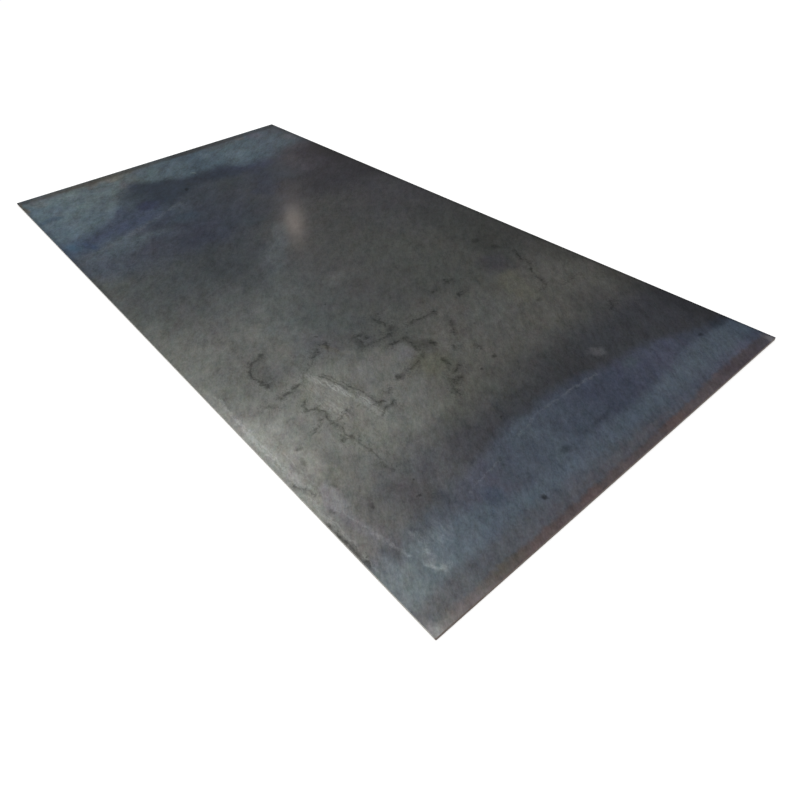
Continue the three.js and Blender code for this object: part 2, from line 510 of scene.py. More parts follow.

# bands at the near end, outward; their tones too grow lighter towards the front, partly by painted reflection
nearBands = [
    {"name": "soot", "border": [(620, 856), (400, 850), (200, 852), (60, 872), (-60, 892), (-200, 892),
                                (-400, 874), (-620, 905)], "fade": 80,
     "tones": [(600, (42, 43, 47)), (520, (52, 53, 58)), (300, (54, 56, 60)), (150, (53, 54, 57)),
               (-60, (57, 59, 63)), (-200, (61, 62, 67)), (-360, (80, 81, 84)), (-450, (82, 83, 85)),
               (-530, (96, 96, 95)), (-620, (110, 110, 108))]},
    {"name": "violet", "border": [(620, 1104), (520, 1088), (440, 1062), (360, 1034), (200, 1014), (120, 992),
                                  (-100, 984), (-200, 1000), (-260, 1014), (-400, 1032), (-620, 1052)],
     "fade": 26,
     "tones": [(600, (35, 40, 50)), (520, (55, 60, 71)), (360, (66, 70, 84)), (120, (59, 64, 77)),
               (-40, (66, 73, 84)), (-120, (72, 80, 90)), (-230, (70, 76, 86)), (-310, (76, 79, 90)),
               (-450, (78, 83, 90)), (-530, (86, 90, 95)), (-620, (98, 101, 105))]},
    {"name": "steelBlue", "border": [(620, 1124), (500, 1122), (440, 1112), (280, 1136), (0, 1142),
                                     (-240, 1142), (-300, 1126), (-370, 1098), (-620, 1070)], "fade": 18,
     "tones": [(600, (64, 74, 86)), (520, (71, 80, 90)), (400, (73, 81, 91)), (280, (76, 84, 94)),
               (150, (69, 78, 89)), (-60, (76, 84, 95)), (-200, (79, 88, 98)), (-350, (79, 88, 98)),
               (-430, (87, 96, 105)), (-530, (98, 107, 112)), (-620, (111, 118, 121))]},
    {"name": "lilac", "border": [(620, 1194), (0, 1190), (-300, 1178), (-620, 1184)], "fade": 18,
     "tones": [(600, (56, 62, 76)), (520, (73, 76, 90)), (250, (70, 76, 88)), (60, (72, 76, 83)),
               (-200, (77, 81, 89)), (-420, (82, 85, 91)), (-620, (98, 100, 102))]},
    {"name": "rust", "border": [(620, 1224), (400, 1216), (250, 1225), (80, 1229), (-200, 1228),
                                (-620, 1227)], "fade": 9,
     "tones": [(600, (64, 62, 69)), (440, (69, 63, 68)), (300, (77, 71, 74)), (150, (75, 69, 72)),
               (-200, (79, 72, 73)), (-350, (83, 75, 75)), (-440, (81, 76, 75)), (-520, (99, 94, 94)),
               (-620, (116, 114, 114))]},
]

# clouds and smudges: name, centre, reach, turn in degrees, tone, strength
plainPatches = [
    ("slateBack", (-40, 330), (180, 90), 15, (63, 64, 67), 0.4),
    ("darkShelf", (40, 490), (90, 45), -10, (51, 52, 53), 0.6),
    ("duskEnd", (-315, 515), (70, 48), -20, (48, 49, 54), 0.7),
    ("darkBack", (330, 505), (115, 75), -30, (52, 53, 51), 0.8),
    ("paleCrown", (455, 590), (70, 30), 0, (64, 64, 63), 0.7),
    ("paleBack", (680, 500), (110, 100), 0, (77, 77, 74), 0.7),
    ("oliveBack", (610, 325), (85, 50), -30, (83, 83, 75), 0.7),
    ("tealBack", (630, 190), (90, 90), -10, (79, 82, 81), 0.5),
    ("lilacBack", (480, 410), (80, 70), 0, (57, 56, 61), 0.7),
    ("hollow", (-275, -205), (160, 90), -25, (54, 58, 61), 0.8),
    # the next two patches are a painted reflection: the tail of the lamp's glare streak
    ("glareTail", (-130, -62), (210, 50), -36, (72, 77, 80), 0.9),
    ("glareTailEnd", (150, -225), (170, 60), -38, (78, 82, 82), 0.6),
    ("slopeEnd", (168, -38), (60, 45), -36, (80, 81, 82), 0.6),
    ("slopeShade", (85, -145), (42, 26), -36, (64, 67, 68), 0.5),
    ("ashBand", (490, -90), (110, 100), 10, (73, 75, 73), 0.8),
    ("ashFoot", (470, -215), (60, 60), 0, (72, 73, 73), 0.7),
    ("paleKnee", (675, 10), (120, 65), 0, (87, 87, 84), 0.7),
    ("archFill", (620, -195), (85, 120), -8, (98, 99, 97), 0.8),
    ("archTop", (615, -125), (45, 36), 0, (91, 89, 93), 0.6),
    ("oliveStain", (712, -100), (65, 48), -10, (88, 89, 79), 0.75),
    ("lilacLeft", (425, -275), (75, 50), 0, (82, 82, 85), 0.6),
    ("oliveStreak", (468, -274), (48, 11), 20, (90, 88, 78), 0.4),
    ("hollowFront", (20, -400), (70, 60), 0, (70, 73, 74), 0.6),
    ("mossRight", (880, -185), (45, 60), 0, (77, 79, 72), 0.6),
    ("sootCloud", (850, 30), (60, 90), 0, (68, 69, 68), 0.5),
    ("rubGlow", (640, -378), (150, 62), 8, (112, 112, 107), 0.85),
    ("paleLeft", (370, -370), (90, 36), 8, (99, 99, 95), 0.6),
    ("paleStep", (240, -385), (70, 42), 8, (95, 96, 93), 0.6),
    ("duskFoot", (810, -455), (75, 40), 0, (95, 96, 93), 0.6),
    ("duskyFront", (20, -485), (110, 50), -12, (75, 77, 77), 0.7),
    ("duskBack", (800, 420), (70, 80), 0, (57, 57, 58), 0.5),
    ("yellowing", (870, -515), (90, 50), 10, (103, 103, 95), 0.6),
]
frontPatches = [
    ("rubbedRim", (660, -620), (330, 26), 0, (136, 137, 133), 0.8),
    ("paleBlob", (885, -574), (76, 26), -2, (127, 126, 128), 0.85),
    ("paleTail", (985, -574), (60, 18), 6, (111, 110, 113), 0.6),
    ("paleEdge", (905, -610), (60, 18), 0, (121, 121, 117), 0.6),
    ("pinkWear", (1032, -552), (48, 22), 0, (104, 102, 106), 0.6),
    ("darkWear", (1066, -572), (34, 18), 0, (82, 85, 91), 0.7),
    ("darkNook", (1042, -396), (34, 26), 0, (69, 72, 79), 0.7),
    ("navyNook", (1108, -318), (34, 28), 0, (62, 70, 83), 0.8),
    ("navyDash", (1130, -382), (26, 9), 0, (62, 68, 76), 0.5),
    ("brownNook", (985, -440), (60, 45), 20, (78, 77, 79), 0.7),
    ("paleHook", (1148, -524), (28, 14), 20, (116, 124, 124), 0.5),
    ("tealSpot", (1048, 268), (22, 30), 0, (64, 74, 80), 0.6),
    ("paleSmear", (963, 238), (25, 21), 50, (82, 82, 86), 0.75),
    ("cornerWear", (1240, -615), (26, 13), 0, (137, 136, 136), 0.9),
    ("cornerPale", (1242, 612), (28, 16), 0, (108, 107, 110), 0.6),
    ("nearDropCore", (1180, -246), (11, 9), 0, (44, 48, 52), 0.5),
    ("lilacRim", (1215, -60), (13, 330), 0, (80, 79, 85), 0.6),
    ("oliveRim", (1237, -420), (13, 60), 0, (82, 80, 72), 0.4),
    ("redRim", (1240, -320), (12, 42), 0, (83, 72, 72), 0.4),
    ("redRimMiddle", (1240, -165), (12, 45), 0, (84, 70, 69), 0.5),
    ("rustRimBack", (1240, 150), (12, 60), 0, (85, 69, 65), 0.45),
    ("sootNook", (975, -75), (28, 40), 0, (56, 57, 61), 0.6),
    ("foldDark", (780, -580), (60, 16), 0, (106, 106, 103), 0.6),
]
farPatches = [
    ("lilacBreak", (-615, 192), (105, 42), -28, (41, 47, 60), 0.7),
    ("violetSlope", (-770, 268), (110, 38), -30, (42, 47, 60), 0.6),
    ("brownPale", (-800, 455), (90, 40), -20, (57, 56, 60), 0.5),
    ("slateNotch", (-390, 0), (60, 48), 0, (45, 52, 58), 0.6),
    ("steelPatch", (-525, -290), (60, 60), 0, (60, 66, 76), 0.6),
    ("oliveSpot", (-750, 100), (90, 50), -20, (46, 51, 52), 0.4),
    ("deepBlue", (-800, -243), (54, 48), -10, (41, 46, 69), 0.8),
    ("brightBlue", (-655, -592), (46, 32), 0, (60, 83, 101), 0.7),
    ("deepFoot", (-640, -532), (46, 26), 0, (46, 58, 82), 0.6),
    ("blueBelt", (-705, -365), (50, 180), 14, (55, 63, 81), 0.7),
    ("navyMiddle", (-430, -180), (110, 110), 0, (49, 53, 65), 0.6),
    ("palePatch", (-690, -130), (50, 40), 20, (60, 68, 77), 0.7),
    ("paleBelt", (-558, -445), (64, 190), 9, (73, 83, 91), 0.85),
    ("tealPatch", (-600, -160), (60, 70), 0, (50, 63, 74), 0.6),
]
tintPatches = [
    ("cloudBack", (-1035, 290), (75, 65), 0, (78, 92, 102), 0.8),
    ("cloudDark", (-1035, 122), (85, 42), -15, (56, 70, 81), 0.7),
    ("cloudSide", (-1125, 180), (50, 34), 0, (74, 87, 96), 0.7),
    ("cloudGap", (-955, 365), (50, 40), 0, (61, 74, 84), 0.6),
    ("paleBackEnd", (-1040, 590), (55, 36), 0, (70, 73, 79), 0.8),
    ("lobeInner", (-840, -430), (115, 130), 0, (81, 94, 102), 0.8),
    ("lobeMiddle", (-955, -400), (52, 90), 10, (75, 87, 93), 0.6),
    ("lobeGreen", (-1185, -440), (60, 90), 0, (92, 103, 103), 0.5),
    ("pinkFoot", (-1180, -565), (70, 46), 0, (98, 104, 107), 0.6),
    ("greenSpot", (-1110, -70), (70, 40), 0, (72, 87, 90), 0.6),
    ("tanRim", (-1222, -300), (36, 330), 0, (85, 83, 77), 0.75),
    ("tanCloud", (-1190, -235), (44, 48), 0, (92, 88, 79), 0.55),
    ("tanCloudFront", (-1188, -325), (42, 44), 0, (92, 87, 79), 0.6),
    ("lavenderEnd", (-1175, -112), (62, 36), 0, (76, 84, 94), 0.6),
    ("ashWedge", (-1072, -182), (58, 20), -20, (58, 64, 63), 0.6),
    ("pinkShelf", (-1075, -235), (60, 22), -10, (82, 82, 86), 0.6),
    ("rustCloud", (-1185, 290), (56, 95), 0, (64, 68, 71), 0.65),
    ("rustSpot", (-1205, 398), (44, 24), 0, (82, 77, 72), 0.6),
    ("pinkSpot", (-1180, 470), (60, 42), 0, (75, 75, 86), 0.65),
    ("dullRim", (-1232, 230), (36, 260), 0, (56, 58, 61), 0.9),
    ("rustFoot", (-1160, -619), (90, 12), 0, (88, 80, 70), 0.8),
    ("blueDash", (-966, -568), (32, 56), 0, (60, 78, 94), 0.75),
]

stainLook = {
    "tone": (151, 151, 149),     # what a full mark leaves of the scale's tone
    "fray": 1.7,                 # unevenness of a rim's edge, in widths of the rim
    "frayNoise": (130.0, 3.0, 0.7),
    "edge": 1.25,                # where a rim ends, in its widths
    "haloEdge": 3.2,             # where the specks about a rim end, and where they are thickest
    "haloCore": 0.7,
    "halo": 0.6,                 # strength of those specks
    "spotEdge": 1.2,             # where a drop ends and is full, in its reaches
    "spotCore": 0.2,
}
# dark rims left where water dried: points, width, strength
stains = [
    ([(452, 498), (480, 486), (505, 470), (528, 474), (548, 470), (560, 452), (595, 430)], 11, 0.75),
    ([(608, 424), (640, 416), (662, 406)], 10, 0.7),
    ([(662, 406), (672, 384), (668, 352)], 10, 0.4),
    ([(437, 222), (438, 200)], 14, 0.75),
    ([(444, 142), (446, 130)], 13, 0.9),
    ([(510, 202), (515, 180)], 13, 0.9),
    ([(527, 60), (529, 42), (524, 14), (520, -20), (522, -38)], 15, 0.72),
    ([(520, -92), (522, -121), (517, -160), (516, -190), (472, -187)], 14, 0.62),
    ([(573, 68), (582, 56)], 14, 0.5),
    ([(598, 63), (621, 48), (642, 26)], 16, 0.66),
    ([(680, -12), (694, -22)], 14, 0.6),
    ([(426, -90), (462, -86), (506, -84)], 27, 0.6),
    ([(565, -82), (559, -111), (558, -144)], 14, 0.8),
    ([(576, -91), (597, -89), (621, -92), (646, -93), (658, -112)], 13, 0.72),
    ([(658, -112), (665, -132), (672, -156), (675, -180), (678, -206)], 15, 0.55),
    ([(735, 33), (748, 31)], 12, 0.6),
    ([(706, -74), (732, -78)], 14, 0.75),
    ([(738, -84), (746, -88)], 16, 0.6),
    ([(754, -62), (760, -88)], 15, 0.6),
    ([(786, -98), (790, -108), (798, -118)], 15, 0.85),
    ([(790, -108), (780, -118)], 13, 0.7),
    ([(772, -120), (780, -124)], 12, 0.5),
    ([(816, -137), (824, -143)], 15, 0.9),
    ([(465, -166), (467, -182)], 14, 0.75),
    ([(480, -160), (486, -163)], 14, 0.7),
    ([(424, -263), (448, -270)], 16, 0.75),
    ([(440, -300), (449, -312), (455, -326)], 15, 0.85),
    ([(452, -316), (466, -329), (483, -360), (505, -391), (519, -403)], 12, 0.4),
    ([(521, -416), (523, -435), (530, -449), (534, -466), (536, -482)], 13, 0.8),
    ([(700, -255), (707, -270)], 13, 0.6),
    ([(738, -280), (746, -296), (743, -306), (752, -322), (757, -336)], 12, 0.75),
    ([(720, -301), (716, -320)], 12, 0.75),
    ([(536, -345), (563, -336), (594, -329), (629, -321), (655, -316), (695, -310), (717, -307)], 7, 0.6),
    ([(532, -356), (567, -346), (602, -340), (626, -333)], 7, 0.7),
    ([(346, -420), (356, -436), (361, -462), (370, -476), (388, -484), (408, -490)], 15, 0.75),
    ([(408, -490), (428, -489), (448, -484), (472, -477)], 15, 0.85),
    ([(585, -444), (602, -455), (620, -462), (622, -449), (625, -435), (647, -431), (669, -435)], 12, 0.65),
    ([(669, -435), (695, -438), (717, -433), (748, -438), (762, -433), (782, -431)], 12, 0.6),
    ([(782, -431), (850, -428), (872, -435), (898, -431), (908, -422)], 12, 0.45),
    ([(686, -388), (702, -396)], 12, 0.6),
    ([(694, -396), (695, -409), (701, -424)], 14, 0.5),
    ([(669, -449), (682, -471), (691, -488)], 12, 0.5),
    ([(755, -448), (763, -458)], 14, 0.6),
    ([(538, -519), (550, -509)], 16, 0.6),
    ([(690, 520), (697, 470), (694, 440)], 11, 0.4),
    ([(852, 466), (874, 430)], 12, 0.6),
    ([(930, -622), (1000, -622), (1062, -618)], 9, 0.8),
    ([(797, -621), (828, -603), (846, -598)], 10, 0.6),
]
# drops and blots of the same: name, centre, reach, turn, strength
stainSpots = [
    ("kneeBlot", (622, -67), (36, 30), 35, 0.6),
    ("kneeTip", (634, -45), (21, 13), -10, 1.0),
    ("legDrop", (677, -206), (14, 16), 40, 1.0),
    ("nearDrop", (1180, -246), (9, 8), 0, 0.9),
    ("bandDropA", (1124, -104), (16, 20), 0, 0.5),
    ("bandDropB", (1120, 40), (9, 40), 0, 0.35),
    ("bandDropC", (1108, 500), (9, 10), 0, 0.7),
    ("leftDrop", (348, -424), (15, 13), -20, 0.9),
    ("ringFill", (414, -458), (60, 34), 0, 0.28),
    ("ringHeel", (468, -478), (13, 9), 0, 0.85),
    ("upperDrop", (437, 190), (8, 9), 0, 0.4),
    ("elbowBlot", (505, -86), (16, 17), 0, 0.75),
    ("leftSmear", (490, -196), (40, 12), 0, 0.4),
    ("dashBlot", (787, 31), (9, 12), 30, 0.9),
    ("farDrop", (-838, -56), (22, 11), -25, 1.0),
    ("backDrop", (391, 472), (20, 16), 0, 0.6),
    ("backSmear", (316, 460), (16, 22), 20, 0.6),
    ("frontDropA", (952, -527), (7, 7), 0, 0.6),
    ("frontDropB", (908, -592), (9, 6), 0, 0.5),
    ("frontDropC", (711, -546), (10, 10), 0, 0.7),
    ("backDash", (700, 325), (12, 9), -30, 0.5),
    ("frontSmear", (753, -561), (18, 7), 0, 0.6),
    ("smearMiddle", (757, -369), (16, 9), 0, 0.4),
    ("frontDropD", (853, -550), (12, 8), 0, 0.5),
    ("frontDropE", (826, -606), (26, 5), 0, 0.5),
]

specks = {
    "tone": (150, 150, 148),     # what a speck leaves of the scale's tone
    "strength": 0.8,
    "cells": 26.0,               # cells per metre, each with room for one
    "edge": 0.17,                # where a speck ends and is full, in cells
    "core": 0.03,
    "centre": (640, -120),       # where they crowd, and how far round about
    "reach": (420, 520),
    "emptyOutside": 0.999,       # share of the cells left empty
    "emptyInside": 0.57,
}

scuffLight = (86, 88, 88)        # what a full scuff or rub adds to the scale's tone
# pale marks where something slid across the plate: points, width, strength
scuffs = [
    ([(660, -579), (880, -583), (933, -581), (1003, -564), (1091, -548)], 7, 0.6),
    ([(1132, -533), (1148, -532), (1158, -520), (1160, -505)], 14, 0.9),
    ([(1058, -508), (1100, -508)], 12, 0.7),
    ([(1106, -512), (1126, -520)], 15, 0.8),
    ([(1064, -497), (1100, -501)], 11, 0.55),
    ([(1003, -566), (1050, -560), (1095, -549)], 9, 0.75),
    ([(1017, 166), (1012, 100), (1008, 40)], 17, 0.42),
    ([(1008, 40), (1008, -60), (1020, -112), (1024, -140)], 17, 0.36),
    ([(1020, -128), (1024, -140)], 8, 0.5),
    ([(1046, -215), (1056, -300), (1064, -350)], 11, 0.38),
    ([(-738, -148), (-722, -178), (-690, -236)], 74, 0.38),
    ([(-690, -236), (-664, -292), (-646, -330)], 70, 0.33),
    ([(-646, -330), (-630, -376), (-618, -408)], 76, 0.44),
    ([(-612, -430), (-590, -478), (-580, -530), (-582, -600)], 70, 0.3),
    ([(-984, 45), (-966, 52)], 17, 0.65),
    ([(-1046, -446), (-1008, -453)], 10, 0.5),
    ([(428, -600), (470, -602), (545, -603), (590, -600)], 8, 0.75),
]

combing = {"turn": -8, "waves": (7, 170, 1)}   # fine strokes of a rub, waves per metre along and across
# rubs combed with such strokes: name, centre, reach, turn, strength
rubs = [
    ("rubHead", (680, -334), (60, 18), 12, 0.8),
    ("mainRub", (612, -352), (76, 14), 12, 1.0),
    ("rubLower", (540, -372), (52, 11), 8, 0.9),
    ("rubTail", (735, -332), (40, 18), 8, 0.65),
    ("faintRub", (630, -398), (115, 32), 6, 0.45),
    ("rimRub", (610, -607), (200, 12), 0, 0.8),
    ("rimRubRight", (900, -612), (200, 8), -1, 0.6),
    ("stackedStrokes", (1095, -468), (35, 40), 0, 0.3),
]

# painted shade near the edges: distance from the edge where it starts, where it is full, and its strength
rimShade = {
    "far": (60, 30, 0.42),
    "back": (34, 12, 0.26),      # where it starts at the far end and at the near end, full at half that
    "front": (20, 8, 0.24),
    "frontFrom": (-100, -350),   # x where the front's shade begins and where it is full
    "nearHighlight": (18, 5),             # painted highlight along the near end
    "nearHighlightAlong": (400, -500),    # y between which it goes from the first strength to the second
    "nearHighlightStrength": (0.1, 0.14),
}


def pushed(tree, at, reach, waves, detail):
    # the place on the plate, pushed about by noise, up to reach along each axis
    inputs = {"Vector": at, "Scale": waves, "Detail": detail, "Roughness": 0.6}
    noise = addNode(tree, "ShaderNodeTexNoise", inputs).outputs["Color"]
    away = calcVector(tree, "SUBTRACT", noise, (0.5, 0.5, 0.5))
    away = calcVector(tree, "MULTIPLY", away, (2 * mm(reach), 2 * mm(reach), 0))
    return calcVector(tree, "ADD", at, away)


def split(tree, at):
    # a place as its x and y
    parts = addNode(tree, "ShaderNodeSeparateXYZ", {0: at})
    return parts.outputs["X"], parts.outputs["Y"]


def makeGroup(name, inputs, build):
    # a node group of numbers in and one number out; build adds its nodes and returns the result.
    # A group with places in and out would fill the renderer's store for a material
    group = bpy.data.node_groups.new(name, "ShaderNodeTree")
    for label in inputs:
        group.interface.new_socket(name=label, in_out="INPUT", socket_type="NodeSocketFloat")
    group.interface.new_socket(name="result", in_out="OUTPUT", socket_type="NodeSocketFloat")
    entry = group.nodes.new("NodeGroupInput")
    leave = group.nodes.new("NodeGroupOutput")
    group.links.new(build(group, entry.outputs), leave.inputs[0])
    return group


def inFrame(tree, entry):
    # x and y in a frame that stands at the origin and is turned: the place less the origin,
    # multiplied by the cosine and sine of the turn
    x = calc(tree, "SUBTRACT", entry["x"], entry["originX"])
    y = calc(tree, "SUBTRACT", entry["y"], entry["originY"])
    along = calc(tree, "MULTIPLY_ADD", x, entry["cosine"], calc(tree, "MULTIPLY", y, entry["sine"]))
    back = calc(tree, "MULTIPLY", x, entry["sine"])
    across = calc(tree, "SUBTRACT", calc(tree, "MULTIPLY", y, entry["cosine"]), back)
    return along, across


def hypotenuse(tree, first, second):
    square = calc(tree, "MULTIPLY", first, first)
    return calc(tree, "SQRT", calc(tree, "MULTIPLY_ADD", second, second, square))


def buildPatch(tree, entry):
    # distance from the centre in a frame where the ellipse is a circle of radius 1
    along, across = inFrame(tree, entry)
    along = calc(tree, "DIVIDE", along, entry["reachAlong"])
    across = calc(tree, "DIVIDE", across, entry["reachAcross"])
    return step(tree, hypotenuse(tree, along, across), entry["edge"], entry["core"])


def buildStretch(tree, entry):
    # distance from a straight stretch: from what is past its ends and what is beside it
    along, across = inFrame(tree, entry)
    held = addNode(tree, "ShaderNodeClamp", {"Value": along, "Min": 0.0, "Max": entry["length"]})
    return hypotenuse(tree, calc(tree, "SUBTRACT", along, held.outputs[0]), across)


frameInputs = ["x", "y", "originX", "originY", "cosine", "sine"]
patchGroup = makeGroup("softPatch", frameInputs + ["reachAlong", "reachAcross", "edge", "core"], buildPatch)
stretchGroup = makeGroup("stretchDistance", frameInputs + ["length"], buildStretch)


def framed(tree, group, spot, origin, turn, rest):
    # a group's number for a place, in the frame at the origin turned by an angle
    inputs = {
        "x": spot[0],
        "y": spot[1],
        "originX": origin[0],
        "originY": origin[1],
        "cosine": math.cos(turn),
        "sine": math.sin(turn),
    }
    return addNode(tree, "ShaderNodeGroup", inputs | rest, node_tree=group).outputs[0]


def patch(tree, spot, centre, reach, turn, edge=1.25, core=0.35):
    # 1 in the core of an ellipse, falling smoothly to 0 at its edge
    rest = {"reachAlong": mm(reach[0]), "reachAcross": mm(reach[1]), "edge": edge, "core": core}
    return framed(tree, patchGroup, spot, mm(*centre), math.radians(turn), rest)


def stretchDistance(tree, spot, start, end):
    turn = math.atan2(end[1] - start[1], end[0] - start[0])
    return framed(tree, stretchGroup, spot, start, turn, {"length": math.dist(start, end)})


def lineDistance(tree, spot, points):
    # distance from a drawn line: the least of the distances from its straight stretches
    nearest = None
    for start, end in zip(points[:-1], points[1:]):
        gap = stretchDistance(tree, spot, mm(*start), mm(*end))
        nearest = gap if nearest is None else calc(tree, "MINIMUM", nearest, gap)
    return nearest


def nearestLine(tree, spot, lines):
    # the least distance from any line, in units of its width; a weak line is never nearer
    # than its lack of strength
    nearest = None
    for points, width, strength in lines:
        gap = calc(tree, "MULTIPLY_ADD", lineDistance(tree, spot, points), 1 / mm(width), 1 - strength)
        nearest = gap if nearest is None else calc(tree, "MINIMUM", nearest, gap)
    return nearest


def toneAlong(tree, along, tones):
    # a colour ramp across the plate's width, from the front edge to the back
    made = addNode(tree, "ShaderNodeValToRGB", {"Fac": along})
    ramp = made.color_ramp
    ramp.interpolation = "EASE"
    stops = sorted(((mm(at) + halfWidth) / (2 * halfWidth), tone) for at, tone in tones)
    ramp.elements[0].position, ramp.elements[0].color = stops[0][0], srgb(*stops[0][1])
    ramp.elements[1].position, ramp.elements[1].color = stops[-1][0], srgb(*stops[-1][1])
    for at, tone in stops[1:-1]:
        ramp.elements.new(at).color = srgb(*tone)
    return made.outputs["Color"]


def borderShare(tree, x, y, border, fade, outward):
    # 0 on the plate's middle side of a drawn border and 1 beyond it, outward being +1 or -1
    inMetres = [(mm(at), mm(place)) for at, place in border]
    past = calc(tree, "SUBTRACT", x, drawn(tree, y, inMetres, -halfWidth, halfWidth))
    return step(tree, past, -outward * mm(fade), outward * mm(fade))


def layBands(tree, x, y, along, colour, bands, outward):
    # each band covers the one before it from its own border outward
    for band in bands:
        share = borderShare(tree, x, y, band["border"], band["fade"], outward)
        colour = blend(tree, share, colour, toneAlong(tree, along, band["tones"]))
        colour.node.label = band["name"]
    return colour


def layPatches(tree, at, colour, patches):
    spot = split(tree, at)
    for name, centre, reach, turn, tone, strength in patches:
        share = calc(tree, "MULTIPLY", patch(tree, spot, centre, reach, turn), strength)
        colour = blend(tree, share, colour, srgb(*tone))
        colour.node.label = name
    return colour


def markStains(tree, at, colour):
    # dark rims, the specks about them, and drops, with uneven edges and broken up inside
    spot = split(tree, at)
    fray = calc(tree, "SUBTRACT", cloud(tree, at, *stainLook["frayNoise"]), 0.5)
    fray = calc(tree, "MULTIPLY", fray, stainLook["fray"])
    near = calc(tree, "ADD", nearestLine(tree, spot, stains), fray)
    rim = step(tree, near, stainLook["edge"], 0.0)
    depth = calc(tree, "MULTIPLY", rim, patterned(tree, at, "stainBreaks"))
    halo = step(tree, near, stainLook["haloEdge"], stainLook["haloCore"], 0.0, stainLook["halo"])
    halo = calc(tree, "MULTIPLY", halo, patterned(tree, at, "stainSpecks"))
    depth = calc(tree, "MAXIMUM", depth, halo)
    for name, centre, reach, turn, strength in stainSpots:
        drop = patch(tree, spot, centre, reach, turn, stainLook["spotEdge"], stainLook["spotCore"])
        share = calc(tree, "MULTIPLY", drop, strength)
        share.node.label = name
        depth = calc(tree, "MAXIMUM", depth, share)
    depth = calc(tree, "MULTIPLY", depth, patterned(tree, at, "stainGrain"))
    darkened = blend(tree, 1.0, colour, srgb(*stainLook["tone"]), "MULTIPLY")
    return blend(tree, depth, colour, darkened), depth


def scatterSpecks(tree, at, colour):
    # small drops in the cells of a random pattern, crowded in the middle of the near half
    inputs = {"Vector": at, "Scale": specks["cells"], "Randomness": 1.0}
    cells = addNode(tree, "ShaderNodeTexVoronoi", inputs)
    dot = step(tree, cells.outputs["Distance"], specks["edge"], specks["core"])
    chosen = addNode(tree, "ShaderNodeSeparateXYZ", {0: cells.outputs["Color"]}).outputs["X"]
    region = patch(tree, split(tree, at), specks["centre"], specks["reach"], 0)
    empty = spread(tree, region, 0.0, 1.0, specks["emptyOutside"], specks["emptyInside"])
    depth = calc(tree, "MULTIPLY", dot, step(tree, chosen, empty, 1.0))
    depth = calc(tree, "MULTIPLY", depth, specks["strength"])
    darkened = blend(tree, 1.0, colour, srgb(*specks["tone"]), "MULTIPLY")
    return blend(tree, depth, colour, darkened)


def markScuffs(tree, at, colour):
    # pale scratches, and rubs combed by fine strokes
    spot = split(tree, at)
    scratch = step(tree, nearestLine(tree, spot, scuffs), 1.0, 0.0)
    bright = calc(tree, "MULTIPLY", scratch, patterned(tree, at, "scuffBreaks"))
    turn = (0, 0, math.radians(combing["turn"]))
    inputs = {"Vector": at, "Rotation": turn, "Scale": combing["waves"]}
    combed = addNode(tree, "ShaderNodeMapping", inputs).outputs[0]
    strokes = patterned(tree, combed, "rubStrokes")
    for name, centre, reach, turn, strength in rubs:
        share = calc(tree, "MULTIPLY", patch(tree, spot, centre, reach, turn), strength)
        share = calc(tree, "MULTIPLY", share, strokes)
        share.node.label = name
        bright = calc(tree, "MAXIMUM", bright, share)
    rubbed = blend(tree, 1.0, colour, srgb(*scuffLight), "ADD")
    return blend(tree, bright, colour, rubbed), bright


def mottled(tree, x, y, colour):
    # flecks of every size from the largest down, light and dark, warm and cool, green and not;
    # their places are drawn together by the growth, a share of each size per metre along x
    base, growth = scale["mottleBase"], scale["mottleGrowth"]
    acrossPart = calc(tree, "MULTIPLY", y, spread(tree, x, 0.0, 1.0, base, base + growth))
    alongPart = calc(tree, "MULTIPLY", x, spread(tree, x, 0.0, 1.0, base, base + growth / 2))
    drawnIn = addNode(tree, "ShaderNodeCombineXYZ", {"X": alongPart, "Y": acrossPart, "Z": 0.0}).outputs[0]
    turn, stretch = math.radians(scale["mottleTurn"]), scale["mottleStretch"]
    inputs = {"Vector": drawnIn, "Rotation": (0, 0, turn), "Scale": (stretch, 1, 1)}
    drawnOut = addNode(tree, "ShaderNodeMapping", inputs, vector_type="TEXTURE").outputs[0]
    waves = 1 / mm(scale["mottleSize"])
    inputs = {"Vector": drawnOut, "Scale": waves, "Detail": scale["mottleDetail"], "Roughness": 1.0}
    noise = addNode(tree, "ShaderNodeTexNoise", inputs, normalize=False).outputs["Color"]
    flecks = addNode(tree, "ShaderNodeSeparateXYZ", {0: noise})
    light, warm, green, least = [scale[name] for name in ("mottle", "tinge", "greening", "mottleDarkest")]
    gain = scaleVector(tree, (light, light, light), flecks.outputs["X"])
    gain = calcVector(tree, "ADD", gain, scaleVector(tree, (warm, 0.0, -warm), flecks.outputs["Y"]))
    gain = calcVector(tree, "ADD", gain, scaleVector(tree, (-green, green, -green), flecks.outputs["Z"]))
    strength = step(tree, x, -halfLength, mm(scale["mottleEven"]), scale["mottleFar"], 1.0)
    gain = calcVector(tree, "ADD", scaleVector(tree, gain, strength), (1.0, 1.0, 1.0))
    return calcVector(tree, "MULTIPLY", colour, calcVector(tree, "MAXIMUM", gain, (least, least, least)))


